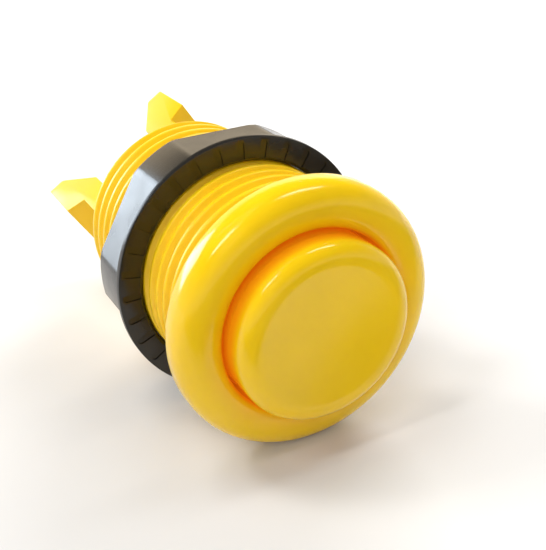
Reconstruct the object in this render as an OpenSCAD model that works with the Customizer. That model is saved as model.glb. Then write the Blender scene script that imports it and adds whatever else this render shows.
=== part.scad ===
// Long push button for a control panel: a threaded barrel with a round bezel, a dished plunger
// on a return spring, a flanged hex nut with a ratchet face and two rear legs for a microswitch.
// Millimetres. The button lies on its side: its axis is Y, the plunger faces -Y, +Z is up.
// The origin is on the axis, in the plane of the bezel's seat, where the panel's face would be.

/* [Barrel] */
// Diameter over the thread's crests, a running fit in a 28.6 mm panel hole
thread_d = 27.6; // [26:0.1:30]
// Length of the barrel behind the bezel's seat
barrel_len = 33; // [30:0.5:60]
// Distance from one thread crest to the next
thread_pitch = 2.05; // [1.5:0.05:3]
// Radial depth of the thread
thread_depth = 0.75; // [0.4:0.05:1]

/* [Bezel] */
// Outside diameter of the round bezel
bezel_d = 32.8; // [31:0.2:38]
// Height of the bezel's crown above its seat
bezel_h = 4.6; // [3:0.1:8]

/* [Plunger] */
// Diameter of the plunger's head
plunger_d = 21.9; // [19:0.1:22]
// Height of the plunger's rim above the bezel's crown at rest
plunger_proud = 3.3; // [2.5:0.1:6]
// Free travel of the plunger when it is pressed
travel = 3.6; // [2:0.1:4.5]
// Radius of the plunger's rounded edge
rim_round = 1.9; // [0.8:0.1:2.4]
// Depth of the dish in the plunger's face
dish_depth = 1; // [0.3:0.1:1.5]

/* [Nut] */
// Least wall of the nut, from its bore to a flat
nut_wall = 1.6; // [1.4:0.1:4]
// Reach of the nut's round flange past its flats
flange_reach = 1.5; // [1:0.1:3]
// Thickness of the nut with its flange
nut_t = 8.2; // [5:0.1:12]
// Distance from the bezel's seat to the nut's face, room for the panel
panel_gap = 12.4; // [2:0.1:15]
// Number of ratchet teeth on the nut's face
tooth_count = 32; // [16:1:40]

/* [Legs] */
// Gap between the two legs, which takes the switch's thickness
leg_gap = 10.4; // [10:0.1:12]
// Width of each leg
leg_w = 12; // [8:0.5:13]
// Reach of the legs behind the barrel's rear rim
leg_reach = 24.2; // [20:0.1:28]
// Turn of the pair of legs about the button's axis
leg_turn = 33; // [0:0.5:90]

/* [Spring] */
// Diameter of the spring wire
wire_d = 0.8; // [0.5:0.05:1]
// Mean diameter of the spring's coil
coil_d = 8.4; // [7.8:0.1:9]
// Number of free coils
coil_turns = 6; // [4:1:7]

/* [Hidden] */
$fn = 96;
// shared clearances
slide_gap = 0.35;      // round the plunger's head, each side
guide_gap = 0.2;       // round the stem in its hole, each side
stop_gap = 0.15;       // left between two faces at the end of a stroke
thread_gap = 0.15;     // between the thread's crests and the nut's bore
wall = 1.7;            // barrel wall inside the thread's root
eps = 0.05;            // overlap of solids that are joined

// barrel
crest_r = thread_d / 2;
root_r = crest_r - thread_depth;
mouth_r = plunger_d / 2 + slide_gap;
ledge = 0.9;                                    // step that stops the plunger's skirt
bore_r = mouth_r - ledge;
tail_r = root_r - wall - slide_gap / 2;         // open recess at the rear
web_t = 2.4;                                    // cross wall that carries spring and legs
tail_depth = 5.6;                               // recess behind the cross wall
web_back = barrel_len - tail_depth;
web_front = web_back - web_t;
ledge_y = 10;
first_crest = 1.6;                              // first crest behind the seat
crest_flat = 0.36;                              // half width of a crest's rounded top
root_flat = 0.3;                                // half width of the groove's floor
rim_bevel = 0.6;
neck_r = crest_r + 0.05;                        // plain collar in the seat's corner
neck_len = 0.45;
crest_count = floor((barrel_len - rim_bevel - first_crest - thread_pitch / 4) / thread_pitch) + 1;

// bezel
bezel_r = bezel_d / 2;
bezel_side = 1.6;                               // upright part of the bezel's edge
crown_r = bezel_r - 2.75;                       // where the crown is highest
seat_edge = 0.35;
lip_drop = 1;                                   // the mouth's lip lies below the crown

// plunger
head_r = plunger_d / 2;
rim_y = bezel_h + plunger_proud;                // height of the plunger's rim above the seat
dish_edge_r = head_r - rim_round * 1.15;
cap_t = 1.8;                                    // thinnest part of the head
cap_under = rim_y - dish_depth - cap_t;
skirt_end = ledge_y - travel - stop_gap;
skirt_t = 1.5;
post_r = 5.1;                                   // thick part of the stem, above the spring
post_end = 12.2;
stem_r = coil_d / 2 - wire_d / 2 - 0.9;
switch_y = barrel_len + 1.2;                    // where the stem's end meets the switch
arm_t = 1.6;                                    // snap arms that hold the plunger in
arm_w = 5;
arm_r = bore_r - 1.75;                          // outer face of an arm
barb = 0.95;
barb_len = 2.5;
slot_gap = 0.2;
slot_in = arm_r - arm_t - barb - slot_gap;

// nut
nut_bore_r = crest_r + thread_gap;
nut_r = nut_bore_r + nut_wall;                  // half the distance across the flats
flange_r = nut_r + flange_reach;
flange_t = 0.9;
flange_edge = 0.15;                             // small bevel round the flange's face
corner_r = flange_r - 0.4;                      // the hexagon's corners are turned to this radius
back_round = 0.6;
tooth_out = flange_r - 0.55;                    // outer end of a groove
tooth_h = 0.2;                                  // depth of a groove
tooth_w = PI * tooth_out / tooth_count * 0.52;  // width of a groove
lead_in = 0.4;                                  // bevel at the bore's two ends

// legs
leg_in = leg_gap / 2;
leg_root_t = 3.7;                               // thickness before the flare
flare = 3;                                      // how far the outer face steps out
flare_y = barrel_len + leg_reach * 0.5;         // where the flare begins
leg_end = barrel_len + leg_reach;
tip_t = 1.5;                                    // thickness of the leg at its tip
lead_y = leg_end - leg_reach * 0.38;            // where the inner face begins to slant away
tip_round = 0.8;
tip_corner = 2.6;                               // radius of the tip's two corners
peg_d = 2.9;                                    // pegs for the switch's two holes
peg_h = 1.3;
peg_y = barrel_len + 5.6;
peg_off = 4;

// spring
coil_top = post_end;
coil_end = web_front;
wire_sides = 10;
turn_steps = 26;

function arc(cr, cz, rr, rz, a0, a1, n) =
    [for (i = [0:n]) let (a = a0 + (a1 - a0) * i / n) [cr + rr * cos(a), cz + rz * sin(a)]];

// Local frame of every piece: z runs out of the panel towards the finger, seat at z = 0.
module lay() rotate([90, 0, 0]) children();

// one groove and crest of the thread, seen from the seat backwards
function crest_points(y) = [
    [root_r, -(y - thread_pitch / 2 + root_flat)],
    [crest_r - 0.12, -(y - crest_flat)],
    [crest_r, -(y - crest_flat / 2)],
    [crest_r, -(y + crest_flat / 2)],
    [crest_r - 0.12, -(y + crest_flat)],
    [root_r, -(y + thread_pitch / 2 - root_flat)]];

module leg() {
    // side profile: along the leg's direction and backwards, pulled to the leg's width
    r0 = leg_in;
    r1 = leg_in + leg_root_t;
    r2 = r1 + flare;
    rotate([0, 0, leg_turn])
    intersection() {
        rotate([90, 0, 0])
        translate([0, 0, -leg_w / 2])
        linear_extrude(leg_w)
        polygon(concat(
            [[r0, -web_back + eps], [r1, -web_back + eps], [r1, -flare_y], [r2, -flare_y - flare * 0.35]],
            arc(r2 - tip_round, -leg_end + tip_round, tip_round, tip_round, 0, -90, 4),
            [[r2 - tip_t, -leg_end], [r0, -lead_y]]));
        // the tip seen from outside, with its two corners rounded
        translate([r0 - 1, 0, 0])
        rotate([0, 90, 0])
        linear_extrude(r2 - r0 + 2) {
            translate([web_back - 2, -leg_w / 2]) square([leg_end - tip_corner - web_back + 2, leg_w]);
            translate([leg_end - tip_corner - eps, tip_corner - leg_w / 2]) square([tip_corner + eps, leg_w - 2 * tip_corner]);
            for (s = [-1, 1]) translate([leg_end - tip_corner, s * (leg_w / 2 - tip_corner)]) circle(r = tip_corner);
        }
    }
}

module peg() {
    rotate([0, 0, leg_turn])
    translate([leg_in + eps, peg_off, -peg_y])
    rotate([0, -90, 0]) {
        cylinder(r = peg_d / 2, h = peg_h + eps - 0.3);
        translate([0, 0, peg_h + eps - 0.3]) cylinder(r1 = peg_d / 2, r2 = peg_d / 2 - 0.3, h = 0.3);
    }
}

module housing() color([0.98, 0.79, 0.02]) lay() {
    difference() {
        rotate_extrude()
        polygon(concat(
            [[mouth_r, bezel_h - lip_drop]],
            [for (p = arc(crown_r, bezel_h - lip_drop, crown_r - mouth_r, lip_drop, 180, 90, 7)) if (p[0] > mouth_r + 0.001) p],
            arc(crown_r, bezel_side, bezel_r - crown_r, bezel_h - bezel_side, 84, 0, 9),
            [[bezel_r, seat_edge], [bezel_r - seat_edge, 0], [neck_r, 0], [neck_r, -neck_len], [root_r, -neck_len - 0.2]],
            [for (i = [0:crest_count - 1]) each crest_points(first_crest + i * thread_pitch)],
            [[root_r, -(barrel_len - rim_bevel / 2)], [root_r - rim_bevel / 2, -barrel_len],
             [tail_r, -barrel_len], [tail_r, -web_back], [0, -web_back], [0, -web_front],
             [bore_r, -web_front], [bore_r, -ledge_y], [mouth_r, -ledge_y]]));
        // guide hole of the stem
        translate([0, 0, -web_back - 1]) cylinder(r = stem_r + guide_gap, h = web_t + 2);
        // slots that the snap arms pass through
        for (s = [90, 270]) rotate([0, 0, leg_turn + s])
            translate([slot_in, -arm_w / 2 - slot_gap, -web_back - 1])
                cube([arm_r + guide_gap - slot_in, arm_w + 2 * slot_gap, web_t + 2]);
    }
    for (s = [0, 180]) rotate([0, 0, s]) {
        leg();
        peg();
    }
}

module plunger() color([0.98, 0.79, 0.02]) lay() {
    rotate_extrude()
    polygon(concat(
        [[0, rim_y - dish_depth]],
        [for (i = [1:8]) let (t = i / 8) [dish_edge_r * t, rim_y - dish_depth * (1 - t * t)]],
        arc(head_r - rim_round, rim_y - rim_round, rim_round, rim_round, 78, 0, 7),
        [[head_r, -skirt_end + 0.3], [head_r - 0.3, -skirt_end], [head_r - skirt_t, -skirt_end],
         [head_r - skirt_t, cap_under], [post_r, cap_under], [post_r, -post_end],
         [stem_r, -post_end], [stem_r, -switch_y + 0.4], [stem_r - 0.4, -switch_y], [0, -switch_y]]));
    // two snap arms with barbs that catch behind the cross wall
    for (s = [90, 270]) rotate([0, 0, leg_turn + s])
        rotate([90, 0, 0])
        translate([0, 0, -arm_w / 2])
        linear_extrude(arm_w)
        polygon([[arm_r - arm_t, cap_under + eps], [arm_r, cap_under + eps],
                 [arm_r, -web_back - stop_gap], [arm_r + barb, -web_back - stop_gap],
                 [arm_r + barb, -web_back - stop_gap - 0.5],
                 [arm_r - 0.3, -web_back - stop_gap - barb_len],
                 [arm_r - arm_t, -web_back - stop_gap - barb_len]]);
}

module nut() color([0.07, 0.07, 0.07]) lay() translate([0, 0, -panel_gap]) {
    difference() {
        union() {
            // round flange that bears on the panel
            rotate_extrude()
            polygon([[nut_bore_r + lead_in, 0], [flange_r - flange_edge, 0], [flange_r, -flange_edge],
                     [flange_r, -flange_t], [nut_bore_r, -flange_t], [nut_bore_r, -lead_in]]);
            // hexagon for the spanner, with its corners turned
            intersection() {
                translate([0, 0, -nut_t]) cylinder(r = nut_r / cos(30), h = nut_t - flange_t + eps, $fn = 6);
                rotate_extrude()
                polygon(concat(
                    [[nut_bore_r, -flange_t + eps], [corner_r, -flange_t + eps]],
                    arc(corner_r - back_round, -nut_t + back_round, back_round, back_round, 0, -90, 4),
                    [[nut_bore_r + lead_in, -nut_t], [nut_bore_r, -nut_t + lead_in]]));
            }
        }
        // ratchet face: radial grooves, open to the bore and rounded at their outer ends
        for (i = [0:tooth_count - 1]) rotate([0, 0, i * 360 / tooth_count]) {
            translate([tooth_out - tooth_w / 2, 0, -tooth_h]) cylinder(r = tooth_w / 2, h = 2 * tooth_h, $fn = 24);
            translate([nut_bore_r - 1, -tooth_w / 2, -tooth_h])
                cube([tooth_out - tooth_w / 2 - nut_bore_r + 1, tooth_w, 2 * tooth_h]);
        }
    }
}

module return_spring() color([0.75, 0.76, 0.78]) lay() {
    n = coil_turns * turn_steps;
    z0 = -coil_top - wire_d / 2 - 0.02;
    z1 = -coil_end + wire_d / 2 + 0.02;
    pts = [for (i = [0:n]) let (a = 360 * i / turn_steps, z = z0 + (z1 - z0) * i / n)
           for (k = [0:wire_sides - 1]) let (b = 360 * k / wire_sides, r = coil_d / 2 + wire_d / 2 * cos(b))
           [r * cos(a), r * sin(a), z + wire_d / 2 * sin(b)]];
    side = [for (i = [0:n - 1]) for (k = [0:wire_sides - 1])
            let (p = i * wire_sides + k, q = i * wire_sides + (k + 1) % wire_sides)
            each [[p, q, q + wire_sides], [p, q + wire_sides, p + wire_sides]]];
    ends = [[for (k = [wire_sides - 1:-1:0]) k], [for (k = [0:wire_sides - 1]) n * wire_sides + k]];
    polyhedron(points = pts, faces = concat(side, ends));
}

housing();
plunger();
nut();
return_spring();
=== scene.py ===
import math
import bmesh
import bpy
from mathutils import Euler, Matrix, Vector


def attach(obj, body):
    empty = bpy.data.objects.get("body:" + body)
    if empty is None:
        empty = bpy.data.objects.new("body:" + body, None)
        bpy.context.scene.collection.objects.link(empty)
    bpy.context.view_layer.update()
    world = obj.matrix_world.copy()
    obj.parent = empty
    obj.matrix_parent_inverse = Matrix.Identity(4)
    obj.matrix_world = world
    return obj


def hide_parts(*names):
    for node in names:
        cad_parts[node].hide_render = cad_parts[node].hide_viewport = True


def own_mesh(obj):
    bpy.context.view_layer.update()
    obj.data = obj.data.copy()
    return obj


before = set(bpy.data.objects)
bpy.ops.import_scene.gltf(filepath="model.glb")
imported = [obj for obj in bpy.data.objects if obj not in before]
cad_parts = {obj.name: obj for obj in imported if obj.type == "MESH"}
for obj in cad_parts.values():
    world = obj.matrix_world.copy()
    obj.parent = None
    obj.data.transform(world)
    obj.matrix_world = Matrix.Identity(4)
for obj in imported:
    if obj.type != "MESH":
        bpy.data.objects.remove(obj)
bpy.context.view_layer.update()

# Camera: a plain lens close in front of the bezel, up and to the left, as the photograph was taken.
# Its place was worked out from the round rims of the bezel, plunger, nut and barrel.
lens = bpy.data.cameras.new("view")
lens.sensor_width = 36
lens.lens = 59.45
lens.clip_start = 0.005
lens.clip_end = 20
camera = bpy.data.objects.new("view", lens)
bpy.context.scene.collection.objects.link(camera)
camera_place = (-0.044603, -0.079964, 0.051891)
tilt, roll, turn = 62.575, 1.900, -28.557
camera_turn = Euler([math.radians(angle) for angle in (tilt, roll, turn)]).to_matrix().to_4x4()
camera.matrix_world = Matrix.Translation(camera_place) @ camera_turn
bpy.context.scene.camera = camera

# Housing: one injection moulding in glossy yellow nylon: fat round bezel, long barrel with a coarse
# right-hand thread, a cross wall deep inside and two flat legs that grow from it.
MM = 0.001
COLUMNS = 200
crest_r, thread_rise, pitch, first_crest = 13.8, 0.75, 2.05, 1.6
root_r, neck_r = crest_r - thread_rise, crest_r + 0.05
barrel_len, thread_from, thread_to, thread_rows = 33.0, 0.75, 32.65, 330
bezel_r, bezel_h, bezel_side, crown_r, seat_edge = 16.4, 4.6, 1.6, 13.65, 0.35
mouth_r, lip_drop, mouth_depth, bore_r = 11.3, 1.0, 10.0, 10.4
web_front, web_back, tail_r, stem_hole_r = 25.0, 27.4, 11.175, 3.1
edge = 0.2
SHARP = 38  # degrees, past which an edge stays sharp


def arc(cr, cz, rr, rz, a0, a1, n):
    """Points on a moulded edge round (cr, cz), with its radii and its angles in degrees."""
    return [(cr + rr * math.cos(math.radians(a0 + (a1 - a0) * i / n)),
             cz + rz * math.sin(math.radians(a0 + (a1 - a0) * i / n))) for i in range(n + 1)]


def placed(name, bm):
    """Makes a piece from a finished mesh, with its faces pointing outwards."""
    bmesh.ops.recalc_face_normals(bm, faces=bm.faces)
    mesh = bpy.data.meshes.new(name)
    bm.to_mesh(mesh)
    bm.free()
    o = bpy.data.objects.new(name, mesh)
    bpy.context.scene.collection.objects.link(o)
    return o


def turned(name, outline, columns, closed):
    """Turns an outline of (radius, height above the seat) round the button's axis."""
    bm = bmesh.new()
    angles = [2 * math.pi * i / columns for i in range(columns)]
    rings = []
    for r, h in outline:
        if r < 1e-6:
            rings.append([bm.verts.new((0, -h * MM, 0))] * columns)
        else:
            around = [(r * math.cos(a) * MM, -h * MM, r * math.sin(a) * MM) for a in angles]
            rings.append([bm.verts.new(point) for point in around])
    for ring, after in zip(rings, rings[1:] + rings[:1] if closed else rings[1:]):
        for i in range(columns):
            j = (i + 1) % columns
            corners = []
            for v in (ring[i], ring[j], after[j], after[i]):
                if v not in corners:
                    corners.append(v)
            if len(corners) > 2:
                bm.faces.new(corners)
    return placed(name, bm)


def settle(o, sharp=SHARP):
    """Turns live modifiers into plain mesh, and shades it smooth between its sharp edges."""
    graph = bpy.context.evaluated_depsgraph_get()
    done = bpy.data.meshes.new_from_object(o.evaluated_get(graph), depsgraph=graph)
    o.modifiers.clear()
    old = o.data
    o.data = done
    done.name = o.name
    if old.users == 0:
        bpy.data.meshes.remove(old)
    done.shade_smooth()
    done.set_sharp_from_angle(angle=math.radians(sharp))
    return o


def cut(o, tool, how="DIFFERENCE"):
    """Cuts a tool out of a piece, or with INTERSECT keeps only what both share."""
    knife = o.modifiers.new("cut", "BOOLEAN")
    knife.operation = how
    knife.solver = "EXACT"
    knife.object = tool
    settle(o)
    bpy.data.objects.remove(tool)
    return o


def pressed(name, outline, width, turn, rounding=0.0, radial=False):
    """A flat moulding: an outline of (distance from the axis, height) pulled to a width.
    A radial one has an outline of (sideways, height) and is pulled away from the axis."""
    bm = bmesh.new()
    c, s = math.cos(math.radians(turn)), math.sin(math.radians(turn))
    sides = []
    for w in (0, width) if radial else (-width / 2, width / 2):
        flat = [(w, e, h) if radial else (e, w, h) for e, h in outline]
        spread = [((e * c - d * s) * MM, -h * MM, (e * s + d * c) * MM) for e, d, h in flat]
        sides.append([bm.verts.new(point) for point in spread])
    bm.faces.new(sides[0])
    bm.faces.new(list(reversed(sides[1])))
    for i in range(len(outline)):
        j = (i + 1) % len(outline)
        bm.faces.new((sides[0][i], sides[1][i], sides[1][j], sides[0][j]))
    o = placed(name, bm)
    return softened(o, rounding) if rounding else o


def softened(o, radius):
    """Rounds the sharp edges of a moulding."""
    bevel = o.modifiers.new("edges", "BEVEL")
    bevel.width = radius * MM
    bevel.segments = 3
    bevel.limit_method = "ANGLE"
    bevel.angle_limit = math.radians(30)
    return settle(o, sharp=50)


def gather(first, *others):
    """Puts several meshes of one moulding into one object."""
    bm = bmesh.new()
    for o in (first, *others):
        bm.from_mesh(o.data)
    bm.to_mesh(first.data)
    bm.free()
    for o in others:
        bpy.data.objects.remove(o)
    first.data.shade_smooth()
    first.data.set_sharp_from_angle(angle=math.radians(SHARP))
    return first


class Tree:
    """A small writer for node trees: each call adds a node and links its inputs."""

    def __init__(self, tree):
        self.tree = tree

    def add(self, kind, *values, out=0, **options):
        """Adds a node. Values go to its inputs in order, and in_Name goes to the input called Name."""
        node = self.tree.nodes.new(kind)
        wires = {k: options.pop(k) for k in list(options) if k.startswith("in_")}
        for k, v in options.items():
            setattr(node, k, v)
        for i, v in list(enumerate(values)) + [(k[3:].replace("_", " "), v) for k, v in wires.items()]:
            if v is None:
                continue
            socket = node.inputs[i]
            if isinstance(v, bpy.types.NodeSocket):
                self.tree.links.new(v, socket)
            else:
                socket.default_value = v
        return node.outputs[out]

    def math(self, op, a, b=None, c=None):
        return self.add("ShaderNodeMath", a, b, c, operation=op)

    def remap(self, value, low, high, new_low, new_high, how="LINEAR"):
        """Maps one span of values onto another."""
        return self.add("ShaderNodeMapRange", value, low, high, new_low, new_high, interpolation_type=how)

    def blend(self, factor, first, second):
        """Mixes two colours, which are a Mix node's inputs 6 and 7."""
        return self.add("ShaderNodeMix", factor, *[None] * 5, first, second, out=2, data_type="RGBA")

    def split(self, vector):
        return self.add("ShaderNodeSeparateXYZ", vector).node.outputs

    def object_place(self):
        return self.add("ShaderNodeTexCoord", out=3)

    def from_axis(self, x, z):
        """The distance from the button's axis."""
        return self.math("SQRT", self.math("ADD", self.math("MULTIPLY", x, x), self.math("MULTIPLY", z, z)))


def geometry_tree(name, sizes):
    """A Geometry Nodes tree with a named input for each size: its writer, mesh input, sizes and output."""
    tree = bpy.data.node_groups.new(name, "GeometryNodeTree")
    tree.interface.new_socket("Geometry", in_out="INPUT", socket_type="NodeSocketGeometry")
    tree.interface.new_socket("Geometry", in_out="OUTPUT", socket_type="NodeSocketGeometry")
    for label, value in sizes.items():
        kind = "NodeSocketInt" if isinstance(value, int) else "NodeSocketFloat"
        tree.interface.new_socket(label, in_out="INPUT", socket_type=kind).default_value = value
    given = tree.nodes.new("NodeGroupInput")
    size = {socket.name: socket for socket in given.outputs}
    return Tree(tree), given.outputs[0], size, tree.nodes.new("NodeGroupOutput").inputs[0]


def run_tree(o, t, geometry, material, result, sizes):
    """Ends a tree, runs it on a piece with these sizes, and keeps the result as plain mesh."""
    whole = t.add("GeometryNodeRealizeInstances", geometry)
    t.tree.links.new(t.add("GeometryNodeSetMaterial", whole, in_Material=material), result)
    live = o.modifiers.new(t.tree.name, "NODES")
    live.node_group = t.tree
    for item in t.tree.interface.items_tree:
        if item.in_out == "INPUT" and item.name in sizes:
            live[item.identifier] = sizes[item.name]
    return settle(o)


def moulded(name, colour, rough, grain, depth, scatter=0.0):
    """Moulded plastic: its own colour, faint flow shades in it, and a fine uneven skin.
    The grain is the skin's pattern per metre, and the depth its height in millimetres."""
    mat = bpy.data.materials.new(name)
    mat.use_nodes = True
    nt = mat.node_tree
    t = Tree(nt)
    skin = nt.nodes["Principled BSDF"]
    place = t.object_place()
    flow = t.add("ShaderNodeTexNoise", in_Vector=place, in_Scale=90.0, in_Detail=3.0)
    shades = t.add("ShaderNodeValToRGB", flow)
    darker, lighter = shades.node.color_ramp.elements
    darker.position, lighter.position = 0.3, 0.7
    darker.color = tuple(c * 0.93 for c in colour) + (1.0,)
    lighter.color = tuple(min(1.0, c * 1.03 + 0.002) for c in colour) + (1.0,)
    nt.links.new(shades, skin.inputs["Base Color"])
    patches = t.add("ShaderNodeTexNoise", in_Vector=place, in_Scale=220.0, in_Detail=2.0)
    nt.links.new(t.remap(patches, 0.3, 0.7, rough * 0.85, rough * 1.2), skin.inputs["Roughness"])
    fine = t.add("ShaderNodeTexNoise", in_Vector=place, in_Scale=grain, in_Detail=4.0, in_Roughness=0.55)
    bump = t.add("ShaderNodeBump", in_Strength=0.6, in_Distance=depth * MM, in_Height=fine)
    nt.links.new(bump, skin.inputs["Normal"])
    skin.inputs["IOR"].default_value = 1.5
    if scatter:
        skin.inputs["Subsurface Weight"].default_value = scatter
        skin.inputs["Subsurface Radius"].default_value = (1.0, 0.5, 0.05)
        skin.inputs["Subsurface Scale"].default_value = 1.5 * MM
    return mat


yellow_nylon = moulded("yellow_nylon", (0.97, 0.62, 0.003), 0.14, 1400.0, 0.003, scatter=0.1)
nt = yellow_nylon.node_tree
t = Tree(nt)
skin = nt.nodes["Principled BSDF"]
x, y, z = t.split(t.object_place())
# Painted light: the gap round the plunger is painted a deeper orange and given a faint orange glow, standing
# in for light that comes through the plastic into the shaded gap. The glow reaches from the plunger's side to
# the bezel's inner edge, and fades in front of the bezel and behind it.
radius = t.from_axis(x, z)
inner = t.remap(radius, 10.6 * MM, 10.85 * MM, 0.0, 1.0)
outer = t.remap(radius, 11.32 * MM, 11.75 * MM, 1.0, 0.0)
in_front = t.remap(y, -6.9 * MM, -4.9 * MM, 0.0, 1.0, "SMOOTHSTEP")
behind = t.remap(y, 1.0 * MM, 4.0 * MM, 1.0, 0.0)
glow = t.math("MULTIPLY", t.math("MULTIPLY", inner, outer), t.math("MULTIPLY", in_front, behind))
plain = skin.inputs["Base Color"].links[0].from_socket
nt.links.new(t.blend(glow, plain, (0.8, 0.3, 0.004, 1)), skin.inputs["Base Color"])
# The painted glow: a faint orange emission from the plastic in the gap, though it is no lamp.
skin.inputs["Emission Color"].default_value = (1.0, 0.3, 0.004, 1)
nt.links.new(t.math("MULTIPLY", glow, 0.15), skin.inputs["Emission Strength"])
# The bezel and plunger are polished, and the thread and the legs behind them are satin.
satin = t.remap(y, -1.0 * MM, 1.0 * MM, 0.0, 0.16)
polish = skin.inputs["Roughness"].links[0].from_socket
nt.links.new(t.math("ADD", polish, satin), skin.inputs["Roughness"])

# The housing's outline, from the bezel's mouth round its outside and back through the bore. Some points
# only split a long straight face.
bezel_outline = (
    [(mouth_r, bezel_h - lip_drop)]
    + arc(crown_r, bezel_h - lip_drop, crown_r - mouth_r, lip_drop, 180, 90, 12)[1:]
    + arc(crown_r, bezel_side, bezel_r - crown_r, bezel_h - bezel_side, 90, 0, 18)[1:]
    + [(bezel_r, seat_edge), (bezel_r - 0.1, 0.1), (bezel_r - seat_edge, 0.0), (14.4, 0.0)])
neck_outline = [(neck_r, 0.0), (neck_r, -0.38), (neck_r - 0.12, -0.45), (root_r, -0.62)]
row_step = (thread_to - thread_from) / thread_rows
thread_outline = [(root_r, -thread_from - i * row_step) for i in range(thread_rows + 1)]
tail_outline = [(root_r, -barrel_len + edge), (root_r - edge, -barrel_len), (tail_r + edge, -barrel_len),
                (tail_r, -barrel_len + edge), (tail_r, -30.0), (tail_r, -web_back)]
web_outline = [(7.0, -web_back), (stem_hole_r + edge, -web_back), (stem_hole_r, -web_back + edge),
               (stem_hole_r, -web_front - edge), (stem_hole_r + edge, -web_front), (7.0, -web_front)]
bore_outline = [(bore_r, -web_front), (bore_r, -20.0), (bore_r, -15.0), (bore_r, -mouth_depth),
                (mouth_r, -mouth_depth), (mouth_r, -7.0), (mouth_r, -3.0), (mouth_r, 0.0)]
shell_outline = bezel_outline + neck_outline + thread_outline + tail_outline + web_outline + bore_outline
housing = turned("housing_moulding", shell_outline, COLUMNS, True)

# The thread pushes the barrel's skin out along a helix. A phase of 0.5 is a crest, and away is 0 there
# and 1 at the root. The thread runs in behind the seat and out before the rear end.
thread_sizes = {"Root Radius": root_r * MM, "Rise": thread_rise * MM, "Pitch": pitch * MM,
                "First Crest": first_crest * MM, "Thread Start": 0.66 * MM, "Thread End": thread_to * MM}
root_share, crest_share = 0.86, 0.16
run_in_len, run_out_len = 0.9 * MM, 1.1 * MM
same_radius = 0.004 * MM
t, given, size, result = geometry_tree("barrel_thread", thread_sizes)
x, y, z = t.split(t.add("GeometryNodeInputPosition"))
radius = t.from_axis(x, z)
turns = t.math("DIVIDE", t.math("ARCTAN2", z, x), 2 * math.pi)
along = t.math("DIVIDE", t.math("SUBTRACT", y, size["First Crest"]), size["Pitch"])
phase = t.math("FRACT", t.math("ADD", t.math("ADD", along, turns), 0.5))
away = t.math("ABSOLUTE", t.math("MULTIPLY_ADD", phase, 2.0, -1.0))
ridge = t.remap(away, root_share, crest_share, 0.0, 1.0, "SMOOTHSTEP")
run_in = t.remap(t.math("SUBTRACT", y, size["Thread Start"]), 0.0, run_in_len, 0.0, 1.0, "SMOOTHSTEP")
run_out = t.remap(t.math("SUBTRACT", size["Thread End"], y), 0.0, run_out_len, 0.0, 1.0, "SMOOTHSTEP")
rise = t.math("MULTIPLY", t.math("MULTIPLY", ridge, size["Rise"]), t.math("MULTIPLY", run_in, run_out))
share = t.math("DIVIDE", rise, radius)
push = t.add("ShaderNodeCombineXYZ", t.math("MULTIPLY", x, share), 0.0, t.math("MULTIPLY", z, share))
off_root = t.math("ABSOLUTE", t.math("SUBTRACT", radius, size["Root Radius"]))
on_skin = t.math("LESS_THAN", off_root, same_radius)
after_start = t.math("GREATER_THAN", y, size["Thread Start"])
before_end = t.math("LESS_THAN", y, size["Thread End"])
on_thread = t.math("MULTIPLY", on_skin, t.math("MULTIPLY", after_start, before_end))
moved = t.add("GeometryNodeSetPosition", given, on_thread, None, push)
run_tree(housing, t, moved, yellow_nylon, result, thread_sizes)

# Each leg starts inside the barrel, sunk a little into the cross wall. Its outer face steps out half-way
# along, its end is rounded, and its inner face slants away there to let a switch in.
leg_turn, leg_in, leg_w, leg_reach = 33.0, 5.2, 12.0, 24.2
leg_end = barrel_len + leg_reach
flare_y, lead_y = leg_end - leg_reach / 2, leg_end - 0.38 * leg_reach
leg_root_t, leg_flare_t, tip_t, tip_round, tip_corner, flare_len = 3.7, 6.7, 5.2, 0.8, 2.6, 1.05
sunk = 0.05
leg_root = -web_back + sunk
leg_outline = ([(leg_in, leg_root), (leg_in + leg_root_t, leg_root), (leg_in + leg_root_t, -flare_y),
                (leg_in + leg_flare_t, -flare_y - flare_len)]
               + arc(leg_in + leg_flare_t - tip_round, -leg_end + tip_round, tip_round, tip_round, 0, -90, 4)
               + [(leg_in + tip_t, -leg_end), (leg_in, -lead_y)])
leg_side, tip_y = leg_w / 2 - tip_corner, -leg_end + tip_corner
tip_outline = ([(leg_w / 2, -web_back + 2), (-leg_w / 2, -web_back + 2)]
               + arc(-leg_side, tip_y, tip_corner, tip_corner, 180, 270, 8)
               + arc(leg_side, tip_y, tip_corner, tip_corner, 270, 360, 8))

# The plunger's snap arms pass through two slots in the cross wall.
arm_w, arm_in, arm_out, slot_in, slot_gap = 5.0, 7.05, 8.65, 5.9, 0.2
slot_outline = [(slot_in, -web_front + 1), (arm_out + slot_gap, -web_front + 1),
                (arm_out + slot_gap, -web_back - 1), (slot_in, -web_back - 1)]
for side in (90, 270):
    cut(housing, pressed("slot", slot_outline, arm_w + 2 * slot_gap, leg_turn + side))

# A peg stands on each leg's inner face, off its middle line, for one of the switch's two holes.
peg_r, peg_h, peg_edge, peg_y, peg_off = 1.45, 1.35, 0.3, 38.6, 4.0
peg_outline = [(0, 0), (peg_r, 0), (peg_r, peg_h - peg_edge), (peg_r - peg_edge, peg_h), (0, peg_h)]
legs = []
for side in (0, 180):
    leg = pressed("leg", leg_outline, leg_w, leg_turn + side)
    cut(leg, pressed("tip", tip_outline, 20, leg_turn + side, radial=True), "INTERSECT")
    legs.append(softened(leg, 0.25))
    peg = turned("peg", peg_outline, 32, False)
    a = math.radians(leg_turn + side)
    out, across = Vector((math.cos(a), 0, math.sin(a))), Vector((-math.sin(a), 0, math.cos(a)))
    back = Vector((0, 1, 0))
    upright = Matrix([[across[i], out[i], -back[i]] for i in range(3)]).to_4x4()
    foot = (out * (leg_in + sunk) + across * peg_off + back * peg_y) * MM
    peg.data.transform(Matrix.Translation(foot) @ upright)
    legs.append(peg)
gather(housing, *legs)
housing.data.materials.clear()
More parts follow.
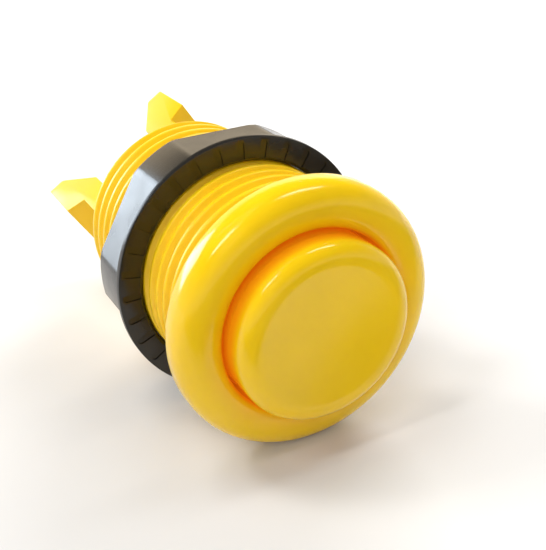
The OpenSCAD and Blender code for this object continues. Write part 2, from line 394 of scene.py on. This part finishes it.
housing.data.materials.append(yellow_nylon)
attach(housing, "housing")
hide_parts("housing")

# Plunger: the finger button, moulded in the same yellow nylon: a dished head with a soft rim, a guiding
# skirt, a stem that reaches the switch, and two snap arms whose barbs stop it at the rear.
head_r, rim_y, rim_round, dish = 10.95, 7.9, 1.9, 1.0
dish_r, dish_rings = head_r - rim_round * 1.15, 20
cap_under, skirt_end, skirt_t, skirt_edge = 5.1, 6.25, 1.5, 0.3
post_r, post_end, stem_r, stem_end = 5.1, 12.2, 2.9, 34.2
dish_shares = [i / dish_rings for i in range(1, dish_rings + 1)]
plunger_outline = (
    [(0, rim_y - dish)] + [(dish_r * share, rim_y - dish * (1 - share ** 2)) for share in dish_shares]
    + arc(head_r - rim_round, rim_y - rim_round, rim_round, rim_round, 84, 0, 14)
    + [(head_r, 4.0), (head_r, 0.0), (head_r, -skirt_end + skirt_edge), (head_r - skirt_edge, -skirt_end),
       (head_r - skirt_t, -skirt_end), (head_r - skirt_t, cap_under), (post_r, cap_under),
       (post_r, -post_end), (stem_r, -post_end), (stem_r, -20.0), (stem_r, -stem_end + 0.4),
       (stem_r - 0.1, -stem_end + 0.1), (stem_r - 0.4, -stem_end), (0, -stem_end)])
plunger = turned("plunger_moulding", plunger_outline, COLUMNS, False)
barb, barb_land, barb_len = 0.95, 0.5, 2.5
catch = -web_back - 0.15
arm_outline = [(arm_in, cap_under + sunk), (arm_out, cap_under + sunk), (arm_out, catch),
               (arm_out + barb, catch), (arm_out + barb, catch - barb_land),
               (arm_out - 0.3, catch - barb_len), (arm_in, catch - barb_len)]
gather(plunger, *[pressed("arm", arm_outline, arm_w, leg_turn + side, 0.12) for side in (90, 270)])
plunger.data.materials.append(yellow_nylon)
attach(plunger, "plunger")
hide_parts("plunger")

# Nut: moulded in black nylon, it clamps the panel from behind. A thin round flange with ratchet
# grooves in its face bears on the panel, and the hexagon behind it has its corners turned off.
nut_bore, flat_r, corner_r, nut_t, gap = 13.95, 15.55, 16.65, 8.2, 12.4
flange_r, flange_t, flange_edge, lead_in, back_round = 17.05, 0.9, 0.15, 0.4, 0.6
black_nylon = moulded("black_nylon", (0.015, 0.013, 0.010), 0.24, 1600.0, 0.006)
# The points round the nut: one at both ends of each turned corner, and the rest every 1.5 degrees.
turned_off = math.degrees(math.acos(flat_r / corner_r))
corner_ends = [60.0 * k + 30 + side * turned_off for k in range(6) for side in (-1, 1)]
between = [a for a in (1.5 * i for i in range(240)) if all(abs(a - end) > 0.5 for end in corner_ends)]
spokes = sorted(corner_ends + between)
# Radius, height and how far the point stays inside the flats. None keeps it round.
flange_outline = [(nut_bore + lead_in, 0, None), (flange_r - flange_edge, 0, None),
                  (flange_r - 0.04, -0.04, None), (flange_r, -flange_edge, None),
                  (flange_r, -flange_t + 0.1, None), (flange_r - 0.1, -flange_t, None)]
back_edge = arc(corner_r - back_round, -nut_t + back_round, back_round, back_round, 0, -60, 4)
hexagon_outline = ([(corner_r, -flange_t - 0.01, 0), (corner_r, -nut_t + back_round, 0)]
                   + [(r, h, 0) for r, h in back_edge[1:]]
                   + [(corner_r - 0.44, -nut_t + 0.03, 0.1), (corner_r - back_round, -nut_t, 0.28)])
hole_outline = [(nut_bore + lead_in, -nut_t, None), (nut_bore, -nut_t + lead_in, None),
                (nut_bore, -lead_in, None)]
bm = bmesh.new()
rings = []
for r, h, inset in flange_outline + hexagon_outline + hole_outline:
    ring = []
    for spoke in spokes:
        a = math.radians(spoke)
        to_flat = math.radians(spoke % 60 - 30)
        reach = r if inset is None else min(r, flat_r / math.cos(to_flat) - inset)
        ring.append(bm.verts.new((reach * math.cos(a) * MM, (gap - h) * MM, reach * math.sin(a) * MM)))
    rings.append(ring)
for ring, after in zip(rings, rings[1:] + rings[:1]):
    for i in range(len(spokes)):
        j = (i + 1) % len(spokes)
        bm.faces.new((ring[i], ring[j], after[j], after[i]))
nut = placed("clamp_nut", bm)

# Each ratchet groove is a bar with a round outer end, sunk into the nut's face by the groove's depth.
ratchet_sizes = {"Teeth": 32, "Groove Width": 0.85 * MM, "Groove Depth": 0.14 * MM, "Outer End": 16.5 * MM,
                 "Inner End": 13.0 * MM, "Face": gap * MM}
t, given, size, result = geometry_tree("ratchet_face", ratchet_sizes)
half = t.math("MULTIPLY", size["Groove Width"], 0.5)
middle = t.math("SUBTRACT", size["Outer End"], half)
tall = t.math("MULTIPLY", size["Groove Depth"], 2.0)
length = t.math("SUBTRACT", middle, size["Inner End"])
round_end = t.add("GeometryNodeMeshCylinder", in_Vertices=20, in_Radius=half, in_Depth=tall)
bar = t.add("GeometryNodeMeshCube", t.add("ShaderNodeCombineXYZ", length, size["Groove Width"], tall))
bar_middle = t.add("ShaderNodeCombineXYZ", t.math("MULTIPLY", length, -0.5), 0.0, 0.0)
bar = t.add("GeometryNodeTransform", in_Geometry=bar, in_Translation=bar_middle)
groove = t.add("GeometryNodeMeshBoolean", None, round_end, operation="UNION", solver="EXACT")
t.tree.links.new(bar, groove.node.inputs[1])
ring = t.add("GeometryNodeMeshCircle", size["Teeth"], middle)
outwards = t.add("FunctionNodeAlignRotationToVector", in_Vector=t.add("GeometryNodeInputPosition"),
                 axis="X", pivot_axis="Z")
grooves = t.add("GeometryNodeInstanceOnPoints", in_Points=ring, in_Instance=groove, in_Rotation=outwards)
solid = t.add("GeometryNodeRealizeInstances", grooves)
face_place = t.add("ShaderNodeCombineXYZ", 0.0, size["Face"], 0.0)
upright = t.add("GeometryNodeTransform", in_Geometry=solid, in_Rotation=(math.radians(90), 0, 0),
                in_Translation=face_place)
grooved = t.add("GeometryNodeMeshBoolean", given, upright, operation="DIFFERENCE", solver="EXACT")
run_tree(nut, t, grooved, black_nylon, result, ratchet_sizes)
nut.data.set_sharp_from_angle(angle=math.radians(24))
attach(nut, "nut")
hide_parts("nut")

# Return spring: a small coil of bright spring wire with closed ends, round the stem between the cross wall
# and the shoulder of the stem. It is built at one length, though the real spring shortens as the button is
# pressed.
spring_wire = bpy.data.materials.new("spring_wire")
spring_wire.use_nodes = True
nt = spring_wire.node_tree
t = Tree(nt)
drawn = t.add("ShaderNodeTexNoise", in_Vector=t.object_place(), in_Scale=1500.0, in_Detail=3.0)
metal = nt.nodes["Principled BSDF"]
metal.inputs["Metallic"].default_value = 1.0
metal.inputs["Base Color"].default_value = (0.55, 0.56, 0.58, 1)
nt.links.new(t.remap(drawn, 0.3, 0.7, 0.18, 0.34), metal.inputs["Roughness"])
fine = t.add("ShaderNodeBump", in_Strength=0.4, in_Distance=0.01 * MM, in_Height=drawn)
nt.links.new(fine, metal.inputs["Normal"])
# The wire's middle lies half its thickness and a little clearance from what it presses on.
wire_seat = 0.42
coil_sizes = {"Turns": 6.0, "Wire": 0.8 * MM, "Coil Radius": 4.2 * MM, "Front": (post_end + wire_seat) * MM,
              "Length": (web_front - post_end - 2 * wire_seat) * MM}
coil = bpy.data.objects.new("return_coil", bpy.data.meshes.new("return_coil"))
bpy.context.scene.collection.objects.link(coil)
# The share of the wire that is wound into each closed end, and the steps along the whole wire.
closed, steps = 0.16, 240
t, _, size, result = geometry_tree("closed_coil", coil_sizes)
line = t.add("GeometryNodeCurvePrimitiveLine", in_Start=(0, 0, 0), in_End=(0, 1, 0))
line = t.add("GeometryNodeResampleCurve", in_Curve=line, in_Count=steps + 1)
share = t.math("DIVIDE", t.add("GeometryNodeInputIndex"), float(steps))
angle = t.math("MULTIPLY", t.math("MULTIPLY", share, size["Turns"]), 2 * math.pi)
open_len = t.math("SUBTRACT", size["Length"], t.math("MULTIPLY", size["Wire"], 2.0))
first = t.remap(share, 0.0, closed, 0.0, size["Wire"])
free = t.remap(share, closed, 1 - closed, 0.0, open_len)
last = t.remap(share, 1 - closed, 1.0, 0.0, size["Wire"])
depth = t.math("ADD", t.math("ADD", t.math("ADD", first, free), last), size["Front"])
sideways = t.math("MULTIPLY", t.math("COSINE", angle), size["Coil Radius"])
upwards = t.math("MULTIPLY", t.math("SINE", angle), size["Coil Radius"])
line = t.add("GeometryNodeSetPosition", line, None, t.add("ShaderNodeCombineXYZ", sideways, depth, upwards))
half = t.math("MULTIPLY", size["Wire"], 0.5)
section = t.add("GeometryNodeCurvePrimitiveCircle", in_Resolution=12, in_Radius=half)
wire = t.add("GeometryNodeCurveToMesh", in_Curve=line, in_Profile_Curve=section, in_Fill_Caps=True)
run_tree(coil, t, wire, spring_wire, result, coil_sizes)
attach(coil, "housing")
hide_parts("return_spring")
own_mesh(coil)

# Table and light: a smooth white table on which the bezel and the nut's flange rest, and soft light panels
# in a pale room. Some panels only light the button, and some only show in its gloss.
table_y, table_z = gap * MM, -flange_r * MM
table_lean = math.atan2(flange_r - bezel_r, gap + bezel_side)
bm = bmesh.new()
bmesh.ops.create_grid(bm, x_segments=1, y_segments=1, size=2.0)
bmesh.ops.rotate(bm, verts=bm.verts, matrix=Matrix.Rotation(-table_lean, 3, "X"))
bmesh.ops.translate(bm, verts=bm.verts, vec=(0, table_y, table_z))
top = bpy.data.meshes.new("table_top")
bm.to_mesh(top)
bm.free()
table = bpy.data.objects.new("table_top", top)
bpy.context.scene.collection.objects.link(table)


def in_view(t):
    """The rays' kinds, and 1 for rays that show a thing to the camera or 0 for rays that light it."""
    ray = t.tree.nodes.new("ShaderNodeLightPath").outputs
    shown = t.math("ADD", ray["Is Camera Ray"], ray["Is Glossy Ray"])
    return ray, t.math("MINIMUM", t.math("ADD", shown, ray["Is Transmission Ray"]), 1.0)


white_top = bpy.data.materials.new("white_top")
white_top.use_nodes = True
nt = white_top.node_tree
t = Tree(nt)
nt.nodes.remove(nt.nodes["Principled BSDF"])
ray, seen = in_view(t)
y = t.split(t.object_place())["Y"]
# Painted reflection: for glossy rays alone the table is painted dark beyond 30 mm in front of the button,
# fading in from 18 mm, so the button's gloss shows a dark wedge as if a dark table edge lay there.
dark_from_y, fade_y, fade_share = -30 * MM, -18 * MM, 0.4
fading = t.remap(y, fade_y, dark_from_y, 0.0, fade_share)
painted_dark_area = t.math("MAXIMUM", fading, t.math("LESS_THAN", y, dark_from_y))
painted_reflection = t.math("MULTIPLY", ray["Is Glossy Ray"], painted_dark_area)
# The table's paint turns near-black for the painted reflection.
paint = t.add("ShaderNodeBsdfDiffuse", t.blend(painted_reflection, (0.68, 0.67, 0.655, 1), (0.03, 0.025, 0.02, 1)), 0.0)
# The far table turns pale, from 12 cm to 60 cm away.
far_off = t.add("ShaderNodeVectorMath", t.object_place(), out=1, operation="LENGTH")
haze = t.remap(far_off, 0.12, 0.6, 0.04, 0.85)
glow = t.add("ShaderNodeEmission", (1.0, 0.985, 0.96, 1), t.math("MULTIPLY", seen, haze))
nt.links.new(t.add("ShaderNodeAddShader", paint, glow), nt.nodes["Material Output"].inputs["Surface"])
top.materials.append(white_top)

room = bpy.data.worlds.new("room")
bpy.context.scene.world = room
room.use_nodes = True
nt = room.node_tree
t = Tree(nt)
seen = in_view(t)[1]
air = nt.nodes["Background"]
air.inputs["Color"].default_value = (1.0, 0.99, 0.97, 1)
# Pale walls low down and a dim ceiling are seen. What lights the button is even.
z = t.split(t.add("ShaderNodeTexCoord"))["Z"]
even_light = 0.40
walls = t.math("MULTIPLY", seen, t.remap(z, 0.08, 0.5, 0.85, 0.08))
lighting = t.math("MULTIPLY", t.math("SUBTRACT", 1.0, seen), even_light)
nt.links.new(t.math("ADD", walls, lighting), air.inputs["Strength"])


def diffuser(name, place, width, depth, power, colour=(1, 1, 1), lights=True, shows=True):
    """A soft light panel that faces the button. It may light only, or only show in glossy faces."""
    data = bpy.data.lights.new(name, "AREA")
    data.shape = "RECTANGLE"
    data.size, data.size_y, data.energy, data.color = width, depth, power, colour
    lamp = bpy.data.objects.new(name, data)
    bpy.context.scene.collection.objects.link(lamp)
    lamp.visible_diffuse = lights
    lamp.visible_glossy = shows
    back = Vector(place).normalized()
    ahead = back.cross(Vector((1, 0, 0))).normalized()
    side = ahead.cross(back)
    lamp.matrix_world = Matrix([[side[i], ahead[i], back[i], place[i]] for i in range(3)] + [[0, 0, 0, 1]])


diffuser("front_left", (-0.50, -0.45, 0.55), 0.40, 0.40, 1.3, shows=False)
diffuser("ceiling", (-0.20, 0.24, 0.80), 0.30, 0.30, 2.1, shows=False)
diffuser("back_left", (-0.35, 0.35, 0.55), 0.16, 0.16, 1.6, shows=False)
diffuser("back_right", (0.50, 0.50, 0.33), 0.45, 0.24, 4.8, shows=False)
diffuser("strip_left", (-0.46, -0.02, 0.60), 0.30, 0.06, 0.9)
diffuser("strip_right", (0.24, 0.02, 0.60), 0.32, 0.06, 0.7)
diffuser("window", (-0.46, 0.85, 0.20), 0.44, 0.42, 4.9, (0.78, 0.89, 1.0), lights=False)
diffuser("far_wall", (0.25, 0.90, 0.30), 1.00, 0.30, 1.3, (1.0, 0.78, 0.48), lights=False)
bpy.context.scene.view_settings.view_transform = "Standard"
